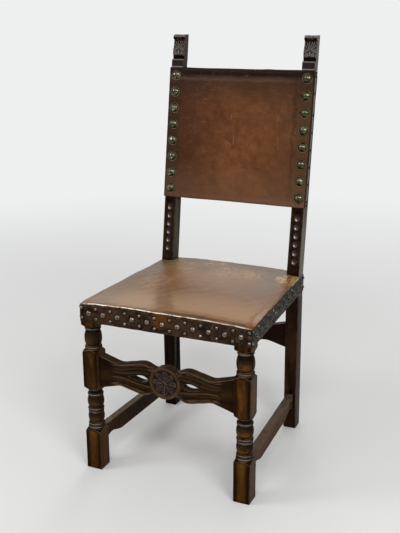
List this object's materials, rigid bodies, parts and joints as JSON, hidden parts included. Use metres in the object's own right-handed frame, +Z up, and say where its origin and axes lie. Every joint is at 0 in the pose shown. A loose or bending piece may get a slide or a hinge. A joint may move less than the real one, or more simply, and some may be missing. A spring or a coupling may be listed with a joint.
{
  "type": "side chair",
  "caption": "Open side chair in dark turned and carved wood, with a raked back, carved front stretcher and a leather seat and back held by rows of dome-headed nails.",
  "frame": {"origin": "on the floor, under the middle of the chair's bounding box", "axes": "+Z up; +Y from the front of the seat to the back; +X to the right of a viewer who faces the chair"},
  "size_m": [0.4776, 0.5554, 1.1122],
  "materials": {
    "turned_wood": "dark, waxed and worn along the edges",
    "frame_wood": "bare, planed and aged",
    "seat_leather": "smooth, glossy and worn",
    "back_leather": "smooth, waxed and scratched",
    "lining_cloth": "coarse plain weave",
    "hessian": "open plain weave",
    "webbing": "close twill weave",
    "stuffing": "matted fibre",
    "back_nail_brass": "antique, dulled",
    "seat_nail_brass": "dark with age",
    "iron": "blackened"
  },
  "bodies": {
    "root": {"front_leg_left": "turned_wood", "front_leg_right": "turned_wood", "rear_leg_left": "turned_wood", "rear_leg_right": "turned_wood", "seat_front_rail": "frame_wood", "seat_rear_rail": "frame_wood", "seat_side_rail_left": "frame_wood", "seat_side_rail_right": "frame_wood", "front_stretcher": "turned_wood", "rear_stretcher": "turned_wood", "side_stretcher_left": "turned_wood", "side_stretcher_right": "turned_wood", "corner_block_front_left": "frame_wood", "corner_block_front_right": "frame_wood", "corner_block_rear_left": "frame_wood", "corner_block_rear_right": "frame_wood", "corner_block_screws": "iron", "back_bottom_rail": "frame_wood", "back_top_rail": "frame_wood", "back_hessian": "hessian", "back_padding": "stuffing", "back_leather": "back_leather", "back_lining": "lining_cloth", "webbing_crosswise": "webbing", "webbing_lengthwise": "webbing", "webbing_tacks": "iron", "seat_hessian": "hessian", "seat_stuffing": "stuffing", "seat_leather": "seat_leather", "seat_front_nails_large": "seat_nail_brass", "seat_front_nails_small": "seat_nail_brass", "seat_rear_nails_large": "seat_nail_brass", "seat_rear_nails_small": "seat_nail_brass", "seat_side_nails_large_left": "seat_nail_brass", "seat_side_nails_large_right": "seat_nail_brass", "seat_side_nails_small_left": "seat_nail_brass", "seat_side_nails_small_right": "seat_nail_brass", "back_nails_left": "back_nail_brass", "back_nails_right": "back_nail_brass", "back_edge_nails_left": "seat_nail_brass", "back_edge_nails_right": "seat_nail_brass", "lining_nails": "iron"}
  },
  "joints": []
}
